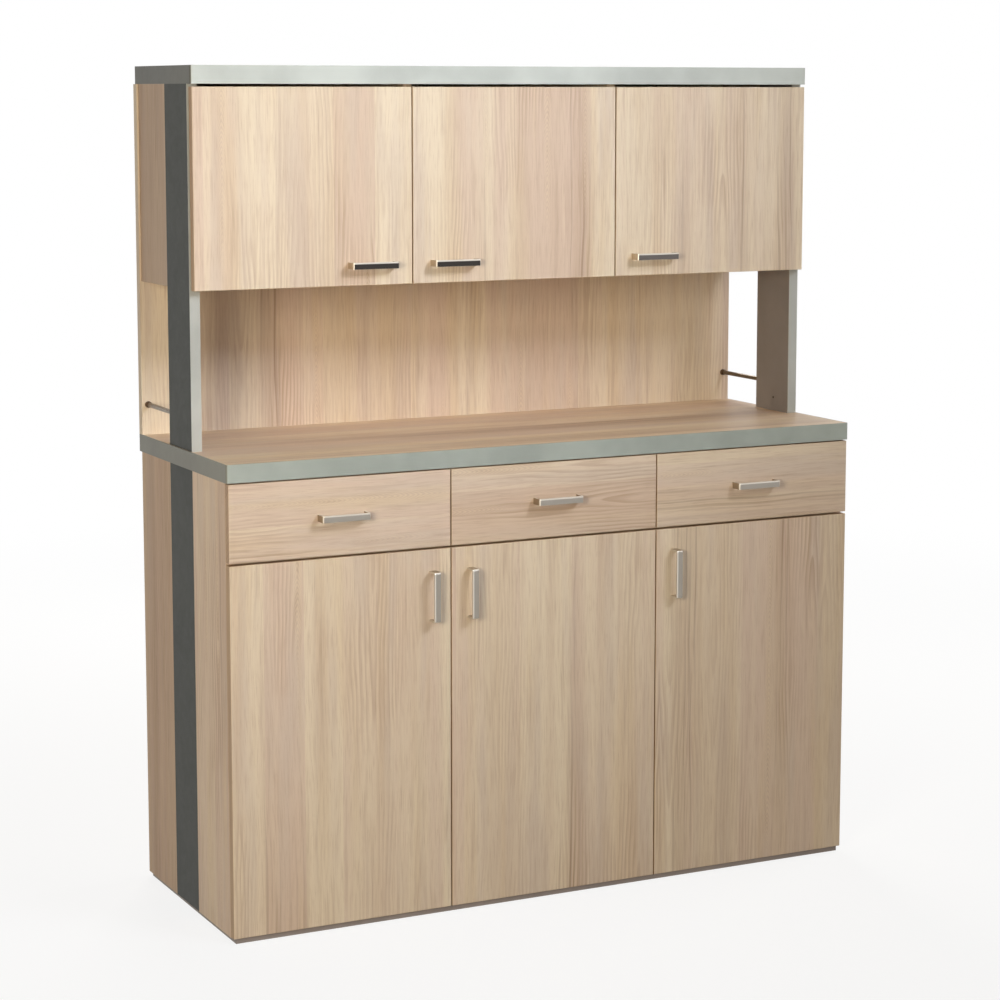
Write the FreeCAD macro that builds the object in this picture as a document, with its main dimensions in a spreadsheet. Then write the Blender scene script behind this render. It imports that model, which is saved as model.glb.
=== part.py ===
import FreeCAD, Part
import os
import re
import Sketcher

# Waiter service station: a counter-height base cabinet with three drawers over three
# doors, and an open serving niche under a three-door wall cabinet carried on two posts.
# Frame: origin on the floor under the middle of the bounding box, +X to the right,
# -Y towards the waiter (the side with the doors), +Z up.  All sizes are millimetres.

DIMENSIONS = {
    # overall envelope
    "top_length": 1500,
    "top_depth": 540,
    "top_thick": 38,
    "counter_height": 1000,
    "total_height": 1800,
    # boards
    "board": 19,
    "thin_back": 8,
    "band_thick": 2,
    "band_radius": 5,
    "worktop_overhang": 4,
    "plinth_height": 10,
    "plinth_inset": 6,
    "back_reveal": 4,
    # fronts and the gaps round them
    "front_arris": 0.7,
    "front_gap": 3,
    "row_gap": 5,
    "hinge_gap": 2,
    "door_lift": 2,
    "drawer_front_height": 162,
    # posts and upper cabinet
    "upper_depth": 350,
    "post_setback": 212,
    "post_depth": 138,
    "post_board": 14,
    "post_cheek": 8,
    "inlay_depth": 3,
    "niche_height": 337,
    "upper_top_gap": 6,
    "upper_side_gap": 3,
    "upper_front_gap": 5,
    # shelves and rails
    "rail_depth": 80,
    "base_shelf_height": 400,
    "upper_shelf_height": 1545,
    "shelf_setback": 26,
    "shelf_play": 1,
    "pin_radius": 2.5,
    "pin_sides": 12,
    "pin_stand": 7,
    "pin_hole_depth": 8,
    "cheek_hole_depth": 6,
    "pin_hole_radius": 2.55,
    "pin_inset": 60,
    # bow handles
    "handle_length": 108,
    "handle_reach": 28,
    "handle_width": 14,
    "handle_strip": 4,
    "handle_bend": 5,
    "handle_edge_margin": 43,
    "handle_side_margin": 41,
    "handle_top_margin": 45,
    "handle_foot_margin": 43,
    # concealed cup hinges: the door turns about one effective axis near its front corner
    "axis_inset": 4,
    "axis_depth": 3,
    "cup_radius": 17.4,
    "cup_bore_radius": 17.5,
    "cup_bore_depth": 11.5,
    "cup_depth": 11.3,
    "cup_wall": 1.4,
    "cup_setback": 22.5,
    "flange_length": 56,
    "flange_width": 22,
    "flange_thick": 1,
    "nose_inner": 20,
    "nose_outer": 27,
    "nose_start": 21,
    "nose_sweep": 27,
    "arm_height": 11,
    "arm_length": 62,
    "arm_web": 3,
    "arm_start": 0.5,
    "bridge_reach": 21,
    "plate_height": 46,
    "plate_length": 34,
    "plate_start": 36,
    "plate_thick": 2,
    "hinge_end_distance": 95,
    # drawers on side-mounted runners
    "box_side": 12,
    "box_height": 110,
    "box_depth": 450,
    "box_lift": 26,
    "box_floor": 8,
    "box_floor_lift": 10,
    "runner_space": 13,
    "runner_height": 35,
    "runner_wall": 1.5,
    "runner_length": 440,
    "runner_lift": 40,
    "runner_play": 0.5,
    "runner_setback": 6,
    # gallery rods across the open ends of the niche
    "rod_radius": 5,
    "rod_height": 66,
    "rod_inset": 11,
}

# Places that several pieces share, as expressions in the spreadsheet's names
FRONT = "((handle_reach - top_depth) / 2)"
BACK = f"({FRONT} + top_depth)"
HALF_CARCASS = "(top_length / 2 - worktop_overhang)"
HALF_INNER = f"({HALF_CARCASS} - board)"
POST_THICK = "(post_board + post_cheek)"
POST_INNER = f"({HALF_CARCASS} - {POST_THICK})"
CARCASS_FRONT = f"({FRONT} + board + hinge_gap)"
CARCASS_BACK = f"({BACK} - back_reveal)"
DECK = "(counter_height - top_thick)"
FRONT_WIDTH = f"((2 * {HALF_CARCASS} - 2 * front_gap) / 3)"
FRONT_PITCH = f"({FRONT_WIDTH} + front_gap)"
DOOR_FOOT = "(plinth_height + door_lift)"
DRAWER_FOOT = f"({DECK} - front_gap - drawer_front_height)"
DOOR_HEAD = f"({DRAWER_FOOT} - row_gap)"
DOOR_HEIGHT = f"({DOOR_HEAD} - {DOOR_FOOT})"
UPPER_FRONT = f"({BACK} - upper_depth)"
UPPER_FOOT = "(counter_height + niche_height)"
UPPER_DECK = "(total_height - top_thick)"
UPPER_DOOR_HEIGHT = f"({UPPER_DECK} - upper_top_gap - {UPPER_FOOT})"
HALF_UPPER_FRONTS = f"({HALF_CARCASS} - upper_side_gap)"
UPPER_WIDTH = f"((2 * {HALF_UPPER_FRONTS} - 2 * front_gap) / 3)"
UPPER_PITCH = f"({UPPER_WIDTH} + front_gap)"
POST_FRONT = f"({FRONT} + post_setback)"
POST_BACK = f"({POST_FRONT} + post_depth)"
PANEL_FRONT = f"({BACK} - board)"
UPPER_CARCASS_FRONT = f"({UPPER_FRONT} + board + upper_front_gap)"
BAYS = ("left", "middle", "right")
HINGED_LEFT = {"left": True, "middle": False, "right": False}
TOUCH = 1e-6
EXPORTED = []

doc = FreeCAD.newDocument("waiter_station")
sheet = doc.addObject("Spreadsheet::Sheet", "Sizes")
for row, (alias, value) in enumerate(DIMENSIONS.items(), start=1):
    sheet.set(f"A{row}", alias)
    sheet.set(f"B{row}", str(value))
    sheet.setAlias(f"B{row}", alias)
doc.recompute()


def named(expression):
    """Turn the bare names of an expression into references to the spreadsheet."""
    return re.sub(r"[a-z_]{3,}", lambda word: "Sizes." + word.group(), str(expression))


def bind(item, target, expression):
    item.setExpression(target, named(expression))


def place(item, corner):
    for axis, expression in zip("xyz", corner):
        bind(item, f"Placement.Base.{axis}", expression)
    return item


def node(item):
    """Mark an object as one of the station's pieces, to be written to its own file."""
    EXPORTED.append(item)
    return item


def board(label, corner, size):
    """A plain rectangular board from its lowest corner and its size."""
    box = doc.addObject("Part::Box", label)
    for target, expression in zip(("Length", "Width", "Height"), size):
        bind(box, target, expression)
    return place(box, corner)


def rod(label, centre, radius, length, direction):
    """A round bar from the centre of one end, along the given direction."""
    bar = doc.addObject("Part::Cylinder", label)
    bind(bar, "Radius", radius)
    bind(bar, "Height", length)
    return lay(bar, centre, direction)


def lay(bar, centre, direction):
    """Turn a bar that stands on the origin to run the given way from a centre."""
    bar.Placement.Rotation = FreeCAD.Rotation(FreeCAD.Vector(0, 0, 1), FreeCAD.Vector(*direction))
    return place(bar, centre)


def shelf_pin(label, centre, length, direction):
    """A many-sided steel pin, from the centre of one end, along the given direction."""
    pin = doc.addObject("Part::Prism", label)
    bind(pin, "Polygon", "pin_sides")
    bind(pin, "Circumradius", "pin_radius")
    bind(pin, "Height", length)
    return lay(pin, centre, direction)


def group(label, members):
    """Identical separate pieces kept together in one node."""
    compound = doc.addObject("Part::Compound", label)
    compound.Links = members
    return compound


def cut(label, base, tool):
    result = doc.addObject("Part::Cut", label)
    result.Base = base
    result.Tool = tool
    return result


def fuse(label, members):
    result = doc.addObject("Part::MultiFuse", label)
    result.Shapes = members
    return result


def sketch_in(body, name, role, offset=None):
    """A sketch on one of the body's own origin planes, set off along the plane's normal."""
    sketch = body.newObject("Sketcher::SketchObject", name)
    plane = next(item for item in body.Origin.OriginFeatures if item.Role == role)
    sketch.AttachmentSupport = [(plane, "")]
    sketch.MapMode = "FlatFace"
    if offset is not None:
        bind(sketch, "AttachmentOffset.Base.z", offset)
    return sketch


def polygon(sketch, corners):
    """A closed outline whose corners are held at the given expressions."""
    count = len(corners)
    first = sketch.GeometryCount
    values = [tuple(number(part) for part in corner) for corner in corners]
    for index in range(count):
        start = FreeCAD.Vector(*values[index], 0)
        end = FreeCAD.Vector(*values[(index + 1) % count], 0)
        sketch.addGeometry(Part.LineSegment(start, end), False)
    for index in range(count):
        following = first + (index + 1) % count
        sketch.addConstraint(Sketcher.Constraint("Coincident", first + index, 2, following, 1))
    for index, corner in enumerate(corners):
        for kind, expression, value in zip(("DistanceX", "DistanceY"), corner, values[index]):
            slot = sketch.addConstraint(Sketcher.Constraint(kind, first + index, 1, value))
            bind(sketch, f"Constraints[{slot}]", expression)


def circle(sketch, centre, radius):
    values = [number(part) for part in centre]
    index = sketch.addGeometry(
        Part.Circle(FreeCAD.Vector(*values, 0), FreeCAD.Vector(0, 0, 1), number(radius)), False
    )
    slot = sketch.addConstraint(Sketcher.Constraint("Radius", index, number(radius)))
    bind(sketch, f"Constraints[{slot}]", radius)
    for kind, expression, value in zip(("DistanceX", "DistanceY"), centre, values):
        slot = sketch.addConstraint(Sketcher.Constraint(kind, index, 3, value))
        bind(sketch, f"Constraints[{slot}]", expression)


def number(expression):
    """The value that an expression has with the sizes as they stand in the spreadsheet."""
    return float(sheet.evalExpression(named(expression)))


def pad(body, sketch, length, backwards=False):
    feature = body.newObject("PartDesign::Pad", sketch.Name + "_pad")
    feature.Profile = sketch
    bind(feature, "Length", length)
    feature.Reversed = backwards
    return feature


def pocket(body, sketch, depth, backwards=False):
    feature = body.newObject("PartDesign::Pocket", sketch.Name + "_pocket")
    feature.Profile = sketch
    bind(feature, "Length", depth)
    feature.Reversed = backwards
    return feature


def rectangle(low, high):
    return [(low[0], low[1]), (high[0], low[1]), (high[0], high[1]), (low[0], high[1])]


# ---------------------------------------------------------------- uprights with pin holes
def upright(label, corner, depth, height, holes, bore, on_right, groove=None):
    """A vertical board in the YZ plane, 19 mm thick along +X from its corner.

    holes is a list of (along the depth, up the height), bored into one face.
    groove is (start, width), cut for the full height of the other face.
    """
    body = doc.addObject("PartDesign::Body", label)
    profile = sketch_in(body, label + "_outline", "YZ_Plane")
    polygon(profile, rectangle(("0", "0"), (depth, height)))
    pad(body, profile, "board")
    if groove:
        start, width = groove
        channel = sketch_in(body, label + "_groove", "YZ_Plane", "0" if on_right else "board")
        polygon(channel, rectangle((start, "0"), (f"{start} + {width}", height)))
        pocket(body, channel, "inlay_depth", backwards=on_right)
    drill = sketch_in(body, label + "_pin_holes", "YZ_Plane", "board" if on_right else "0")
    for centre in holes:
        circle(drill, centre, "pin_hole_radius")
    pocket(body, drill, bore, backwards=not on_right)
    return place(body, corner)


def pin_holes(depth, up):
    """One hole near the front and one near the back."""
    return [("pin_inset", up), (f"{depth} - pin_inset", up)]


BASE_DEPTH = f"({CARCASS_BACK} - thin_back - {CARCASS_FRONT})"
SIDE_DEPTH = f"({CARCASS_BACK} - {CARCASS_FRONT})"
UPPER_SIDE_DEPTH = f"({PANEL_FRONT} - {POST_BACK})"
UPPER_DEPTH = f"({PANEL_FRONT} - {UPPER_CARCASS_FRONT})"
BASE_PIN_HEIGHT = "(base_shelf_height - pin_radius)"
UPPER_PIN_HEIGHT = "(upper_shelf_height - pin_radius)"
DIVIDER = f"({HALF_CARCASS} - {FRONT_WIDTH} - front_gap / 2)"
UPPER_DIVIDER = f"({HALF_UPPER_FRONTS} - {UPPER_WIDTH} - front_gap / 2)"


def bay_span(bay, divider, half_inner):
    """Left and right inner faces of one bay."""
    if bay == "left":
        return f"(-{half_inner})", f"(-{divider} - board / 2)"
    if bay == "middle":
        return f"(-{divider} + board / 2)", f"({divider} - board / 2)"
    return f"({divider} + board / 2)", half_inner


def front_left(bay, pitch, half_width):
    """X of the left edge of a door or drawer front."""
    return f"(-{half_width} + {BAYS.index(bay)} * {pitch})"


# ---------------------------------------------------------------- base cabinet
def base_cabinet():
    node(board(
        "plinth_board",
        (f"-{HALF_CARCASS} + plinth_inset", f"{FRONT} + plinth_inset", "0"),
        (f"2 * ({HALF_CARCASS} - plinth_inset)", f"{CARCASS_BACK} - {FRONT} - 2 * plinth_inset",
         "plinth_height"),
    ))
    node(board(
        "base_bottom",
        (f"-{HALF_INNER}", CARCASS_FRONT, "plinth_height"),
        (f"2 * {HALF_INNER}", BASE_DEPTH, "board"),
    ))
    groove = f"({POST_FRONT} - {CARCASS_FRONT})"
    side_pins = f"({BASE_PIN_HEIGHT} - plinth_height)"
    for name, left in (("left", True), ("right", False)):
        x = f"-{HALF_CARCASS}" if left else HALF_INNER
        node(upright(
            f"base_side_{name}", (x, CARCASS_FRONT, "plinth_height"), SIDE_DEPTH,
            f"({DECK} - plinth_height)", pin_holes(BASE_DEPTH, side_pins), "pin_hole_depth", left,
            groove=(groove, "post_depth"),
        ))
    divider_pins = f"({BASE_PIN_HEIGHT} - plinth_height - board)"
    for name, sign in (("left", "-"), ("right", "")):
        node(upright(
            f"base_divider_{name}",
            (f"{sign}{DIVIDER} - board / 2", CARCASS_FRONT, "plinth_height + board"),
            BASE_DEPTH, f"({DECK} - plinth_height - board)",
            pin_holes(BASE_DEPTH, divider_pins), "board", True,
        ))
    node(board(
        "base_back",
        (f"-{HALF_INNER}", f"{CARCASS_BACK} - thin_back", "plinth_height"),
        (f"2 * {HALF_INNER}", "thin_back", f"{DECK} - plinth_height"),
    ))
    inlays = []
    for name, x in (("left", f"-{HALF_CARCASS}"), ("right", f"{HALF_CARCASS} - inlay_depth")):
        inlays.append(board(
            f"inlay_{name}", (x, POST_FRONT, "plinth_height"),
            ("inlay_depth", "post_depth", f"{DECK} - plinth_height"),
        ))
    node(group("side_inlays", inlays))


def base_rails_and_shelves():
    top_rails, drawer_rails, shelves = [], [], []
    for bay in BAYS:
        left, right = bay_span(bay, DIVIDER, HALF_INNER)
        width = f"{right} - {left}"
        for name, y in (("front", CARCASS_FRONT), ("rear", f"{CARCASS_FRONT} + {BASE_DEPTH} - rail_depth")):
            top_rails.append(board(
                f"top_rail_{bay}_{name}", (left, y, f"{DECK} - board"),
                (width, "rail_depth", "board"),
            ))
        drawer_rails.append(board(
            f"drawer_rail_{bay}", (left, CARCASS_FRONT, f"{DOOR_HEAD} + row_gap / 2 - board / 2"),
            (width, "rail_depth", "board"),
        ))
        shelves.append(board(
            f"base_shelf_{bay}",
            (f"{left} + shelf_play", f"{CARCASS_FRONT} + shelf_setback", "base_shelf_height"),
            (f"{width} - 2 * shelf_play", f"{BASE_DEPTH} - shelf_setback - 4 * shelf_play", "board"),
        ))
    node(group("top_rails", top_rails))
    node(group("drawer_rails", drawer_rails))
    node(group("base_shelves", shelves))


def shelf_pins():
    """Steel pins under the shelves: short ones in the sides, long ones through the dividers."""
    pins = []
    rows = (
        ("base", DIVIDER, CARCASS_FRONT, BASE_DEPTH, BASE_PIN_HEIGHT),
        ("upper", UPPER_DIVIDER, UPPER_CARCASS_FRONT, UPPER_DEPTH, UPPER_PIN_HEIGHT),
    )
    for row, divider, front, depth, height in rows:
        for spot, along in (("front", "pin_inset"), ("rear", f"({depth} - pin_inset)")):
            y = f"{front} + {along}"
            in_post = row == "upper" and spot == "front"
            face = POST_INNER if in_post else HALF_INNER
            sunk = "cheek_hole_depth" if in_post else "pin_hole_depth"
            for name, sign, inward in (("left", "-", 1), ("right", "", -1)):
                pins.append(shelf_pin(
                    f"pin_{row}_{spot}_{name}", (f"{sign}({face} + {sunk})", y, height),
                    f"{sunk} + pin_stand", (inward, 0, 0),
                ))
                pins.append(shelf_pin(
                    f"through_pin_{row}_{spot}_{name}",
                    (f"{sign}{divider} - board / 2 - pin_stand", y, height),
                    "board + 2 * pin_stand", (1, 0, 0),
                ))
    node(group("shelf_pins", pins))


# ---------------------------------------------------------------- banded boards
def banded_top(name, half_length, front, back, height):
    """A board with rounded front corners and one bent edge band on its front and ends."""
    core_half = f"({half_length} - band_thick)"
    depth = f"({back} - {front})"
    inner_radius = "band_radius - band_thick"

    core = doc.addObject("PartDesign::Body", name)
    outline = sketch_in(core, name + "_outline", "XY_Plane")
    polygon(outline, rectangle((f"-{core_half}", "band_thick"), (core_half, depth)))
    slab = pad(core, outline, "top_thick")
    doc.recompute()
    round_edges(core, slab, inner_radius, number(core_half), number("band_thick"))
    node(place(core, ("0", front, height)))

    band = doc.addObject("PartDesign::Body", name + "_edging")
    outer = sketch_in(band, name + "_band_outline", "XY_Plane")
    polygon(outer, rectangle((f"-{half_length}", "0"), (half_length, depth)))
    blank = pad(band, outer, "top_thick")
    doc.recompute()
    round_edges(band, blank, "band_radius", number(half_length), 0)
    hollow = sketch_in(band, name + "_band_hollow", "XY_Plane", "top_thick")
    polygon(hollow, rectangle((f"-{core_half}", "band_thick"), (core_half, f"{depth} + band_thick")))
    opened = pocket(band, hollow, "top_thick")
    doc.recompute()
    round_edges(band, opened, inner_radius, number(core_half), number("band_thick"))
    node(place(band, ("0", front, height)))


def upright_at(edge, half, depth):
    """True for the two vertical edges at the given distances left, right and back."""
    start, end = edge.Vertexes[0].Point, edge.Vertexes[-1].Point
    vertical = abs(start.x - end.x) < TOUCH and abs(start.y - end.y) < TOUCH
    return vertical and abs(start.y - depth) < TOUCH and abs(abs(start.x) - half) < TOUCH


def round_edges(body, feature, radius, half, depth):
    """Fillet the pair of vertical edges at the given distances left, right and back."""
    edges = enumerate(feature.Shape.Edges, start=1)
    fillet = body.newObject("PartDesign::Fillet", feature.Name + "_fillet")
    fillet.Base = (feature, [f"Edge{i}" for i, edge in edges if upright_at(edge, half, depth)])
    bind(fillet, "Radius", radius)
    return fillet


# ---------------------------------------------------------------- posts and upper cabinet
def posts():
    """Each post is an outer board and a thinner inner cheek, both with a banded front edge."""
    cheeks, bands = [], []
    height = f"{UPPER_DECK} - counter_height"
    for name, left in (("left", True), ("right", False)):
        post_x = f"-{HALF_CARCASS}" if left else f"{HALF_CARCASS} - post_board"
        cheek_x = f"-{HALF_CARCASS} + post_board" if left else POST_INNER
        node(post_board(f"post_{name}", post_x, "post_board", height))
        blank = post_board(f"cheek_blank_{name}", cheek_x, "post_cheek", height)
        cheeks.append(cut(f"cheek_{name}", blank, cheek_drill(name, left)))
        for piece, x, thick in (("post", post_x, "post_board"), ("cheek", cheek_x, "post_cheek")):
            bands.append(board(
                f"{piece}_band_{name}", (x, POST_FRONT, "counter_height"),
                (thick, "band_thick", height),
            ))
    node(group("post_cheeks", cheeks))
    node(group("post_edge_bands", bands))


def post_board(label, x, thick, height):
    return board(
        label, (x, f"{POST_FRONT} + band_thick", "counter_height"),
        (thick, "post_depth - band_thick", height),
    )


def cheek_drill(name, left):
    """The blind hole in a post's cheek for the front pin of the upper shelf."""
    start = f"{'-' if left else ''}({POST_INNER} + cheek_hole_depth)"
    return rod(
        f"cheek_drill_{name}", (start, f"{UPPER_CARCASS_FRONT} + pin_inset", UPPER_PIN_HEIGHT),
        "pin_hole_radius", "board", (1 if left else -1, 0, 0),
    )


def upper_cabinet():
    node(board(
        "upper_back",
        ("-top_length / 2", PANEL_FRONT, "counter_height"),
        ("top_length", "board", f"{UPPER_DECK} - counter_height"),
    ))
    node(board(
        "upper_bottom",
        (f"-{POST_INNER}", UPPER_CARCASS_FRONT, UPPER_FOOT),
        (f"2 * {POST_INNER}", UPPER_DEPTH, "board"),
    ))
    rear_pin = f"({UPPER_CARCASS_FRONT} + {UPPER_DEPTH} - pin_inset - {POST_BACK})"
    pin_up = f"({UPPER_PIN_HEIGHT} - {UPPER_FOOT})"
    for name, left in (("left", True), ("right", False)):
        x = f"-{HALF_CARCASS}" if left else HALF_INNER
        node(upright(
            f"upper_side_{name}", (x, POST_BACK, UPPER_FOOT), UPPER_SIDE_DEPTH,
            f"({UPPER_DECK} - {UPPER_FOOT})", [(rear_pin, pin_up)], "pin_hole_depth", left,
        ))
    dividers, shelves = [], []
    for name, sign in (("left", "-"), ("right", "")):
        dividers.append(upright(
            f"upper_divider_{name}",
            (f"{sign}{UPPER_DIVIDER} - board / 2", UPPER_CARCASS_FRONT, f"{UPPER_FOOT} + board"),
            UPPER_DEPTH, f"({UPPER_DECK} - {UPPER_FOOT} - board)",
            pin_holes(UPPER_DEPTH, f"({pin_up} - board)"), "board", True,
        ))
    for bay in BAYS:
        left, right = bay_span(bay, UPPER_DIVIDER, POST_INNER)
        shelves.append(board(
            f"upper_shelf_{bay}",
            (f"{left} + shelf_play", f"{UPPER_CARCASS_FRONT} + shelf_setback", "upper_shelf_height"),
            (f"{right} - {left} - 2 * shelf_play", f"{UPPER_DEPTH} - shelf_setback - 4 * shelf_play",
             "board"),
        ))
    node(group("upper_dividers", dividers))
    node(group("upper_shelves", shelves))
    rods = [
        rod(f"gallery_rod_{name}", (f"{sign}({HALF_CARCASS} - rod_inset)", POST_BACK,
                                    "counter_height + rod_height"),
            "rod_radius", f"{PANEL_FRONT} - {POST_BACK}", (0, 1, 0))
        for name, sign in (("left", "-"), ("right", ""))
    ]
    node(group("gallery_rods", rods))


# ---------------------------------------------------------------- bow handles
def bow_handle(label, centre, vertical):
    """A flat steel strip bent into a grip and two legs, drawn lying along X."""
    body = doc.addObject("PartDesign::Body", label)
    half = "(handle_length / 2)"
    inner = f"({half} - handle_strip)"
    outline = sketch_in(body, label + "_outline", "XY_Plane", "-handle_width / 2")
    polygon(outline, [
        (f"-{half}", "0"), (half, "0"), (half, "handle_reach"), (inner, "handle_reach"),
        (inner, "handle_strip"), (f"-{inner}", "handle_strip"), (f"-{inner}", "handle_reach"),
        (f"-{half}", "handle_reach"),
    ])
    bow = pad(body, outline, "handle_width")
    doc.recompute()
    round_edges(body, bow, "handle_bend", number(half), 0)
    if vertical:
        body.Placement.Rotation = FreeCAD.Rotation(FreeCAD.Vector(0, 1, 0), 90)
    return place(body, centre)


# ---------------------------------------------------------------- doors and their hinges
def hinge_axis_x(bay, left_edge, width):
    """X of the door's effective axis, near its hinged edge."""
    if HINGED_LEFT[bay]:
        return f"({left_edge} + axis_inset)"
    return f"({left_edge} + {width} - axis_inset)"


def front_panel(label, corner, width, height):
    """A door or drawer front, with a fine bevel round its visible face."""
    body = doc.addObject("PartDesign::Body", label)
    outline = sketch_in(body, label + "_outline", "XZ_Plane")
    polygon(outline, rectangle(("0", "0"), (width, height)))
    leaf = pad(body, outline, "board", backwards=True)
    doc.recompute()
    edges = enumerate(leaf.Shape.Edges, start=1)
    arris = body.newObject("PartDesign::Chamfer", label + "_arris")
    arris.Base = (leaf, [f"Edge{i}" for i, edge in edges if in_front_face(edge)])
    bind(arris, "Size", "front_arris")
    return place(body, corner)


def in_front_face(edge):
    """True for an edge that lies in the plane y = 0 of a front panel's own frame."""
    return all(abs(vertex.Point.y) < TOUCH for vertex in edge.Vertexes)


def door_panel(label, corner, width, height, cup_x):
    """A door leaf with the two blind bores for its hinge cups in the back."""
    body = front_panel(label, corner, width, height)
    bores = sketch_in(body, label + "_bores", "XZ_Plane", "-board")
    for up in ("hinge_end_distance", f"({height} - hinge_end_distance)"):
        circle(bores, (cup_x, up), "cup_bore_radius")
    pocket(body, bores, "cup_bore_depth", backwards=True)
    return body


def hinge_cup(label, centre):
    """A pressed cup with its screw flange; centre is on the door's back face."""
    x, y, z = centre
    bowl = rod(label + "_bowl", (x, f"{y} - cup_depth", z), "cup_radius", "cup_depth", (0, 1, 0))
    flange = board(
        label + "_flange", (f"{x} - flange_width / 2", y, f"{z} - flange_length / 2"),
        ("flange_width", "flange_thick", "flange_length"),
    )
    hollow = rod(
        label + "_hollow", (x, f"{y} - cup_depth + cup_wall", z),
        "cup_radius - cup_wall", "cup_depth", (0, 1, 0),
    )
    return cut(label, fuse(label + "_blank", [bowl, flange]), hollow)


def hinge_arm(label, axis, side_face, leftward):
    """The fixed half of a hinge: a nose curved about the axis, an arm and its plate.

    side_face is the distance from the axis to the upright that carries the plate.
    """
    x, y, z = axis
    low = f"{z} - arm_height / 2"
    nose = doc.addObject("Part::Cylinder", label + "_nose")
    bind(nose, "Radius", "nose_outer")
    bind(nose, "Height", "arm_height")
    bind(nose, "Angle", "nose_sweep")
    turn = number("nose_start") if leftward else 180 - number("nose_start + nose_sweep")
    nose.Placement.Rotation = FreeCAD.Rotation(FreeCAD.Vector(0, 0, 1), turn)
    place(nose, (x, y, low))
    core = rod(label + "_core", (x, y, f"{low} - 1"), "nose_inner", "arm_height + 2", (0, 0, 1))
    curved = cut(label + "_curve", nose, core)

    def inward(distance, width):
        """Low X of a box that starts a distance from the axis on the opening's side."""
        return f"{x} + {distance}" if leftward else f"{x} - {distance} - {width}"

    arm_x = f"({side_face} + plate_thick)"
    bridge_width = f"(bridge_reach - {arm_x})"
    arm_y = f"{y} + board + hinge_gap - axis_depth + arm_start"
    arm = board(
        label + "_arm", (inward(arm_x, "arm_web"), arm_y, low),
        ("arm_web", "arm_length", "arm_height"),
    )
    bridge = board(
        label + "_bridge", (inward(arm_x, bridge_width), arm_y, low),
        (bridge_width, "2 * arm_web", "arm_height"),
    )
    plate = board(
        label + "_plate",
        (inward(side_face, "plate_thick"), f"{y} + plate_start", f"{z} - plate_height / 2"),
        ("plate_thick", "plate_length", "plate_height"),
    )
    return fuse(label, [curved, arm, bridge, plate])


def doors(row, left_of, width, height, face_y, foot_z, inner_faces):
    """Three doors of one row, with handles, cups and the matching arms on the carcass."""
    arms = []
    for bay in BAYS:
        name = f"{row}_door_{bay}"
        left_edge = left_of(bay)
        hinged_left = HINGED_LEFT[bay]
        cup_x = "cup_setback" if hinged_left else f"({width} - cup_setback)"
        node(door_panel(f"{name}_panel", (left_edge, face_y, foot_z), width, height, cup_x))
        if row == "base":
            along = f"({width} - handle_edge_margin)" if hinged_left else "handle_edge_margin"
            up = f"({height} - handle_top_margin - handle_length / 2)"
        else:
            margin = "(handle_length / 2 + handle_side_margin)"
            along = f"({width} - {margin})" if hinged_left else margin
            up = "handle_foot_margin"
        node(bow_handle(
            f"{name}_handle",
            (f"{left_edge} + {along}", f"{face_y} - handle_reach", f"{foot_z} + {up}"),
            vertical=row == "base",
        ))
        axis_x = hinge_axis_x(bay, left_edge, width)
        cups = []
        for spot, up in (("low", "hinge_end_distance"), ("high", f"({height} - hinge_end_distance)")):
            z = f"({foot_z} + {up})"
            cups.append(hinge_cup(f"{name}_cup_{spot}", (f"{left_edge} + {cup_x}", f"{face_y} + board", z)))
            arms.append(hinge_arm(
                f"{name}_arm_{spot}", (axis_x, f"({face_y} + axis_depth)", z),
                inner_faces[bay], hinged_left,
            ))
        node(group(f"{name}_hinge_cups", cups))
    node(group(f"{row}_hinge_arms", arms))


# ---------------------------------------------------------------- drawers and runners
def runner_profile(label, corner, length, web_left, height, depth):
    """A C section along Y: a web with two lips that point away from it."""
    body = doc.addObject("PartDesign::Body", label)
    section = sketch_in(body, label + "_section", "XZ_Plane")
    wall = "runner_wall"
    if web_left:
        points = [
            ("0", "0"), (depth, "0"), (depth, wall), (wall, wall), (wall, f"({height} - {wall})"),
            (depth, f"({height} - {wall})"), (depth, height), ("0", height),
        ]
    else:
        points = [
            ("0", "0"), (depth, "0"), (depth, height), ("0", height),
            ("0", f"({height} - {wall})"), (f"({depth} - {wall})", f"({height} - {wall})"),
            (f"({depth} - {wall})", wall), ("0", wall),
        ]
    polygon(section, points)
    pad(body, section, length, backwards=True)
    return place(body, corner)


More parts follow.
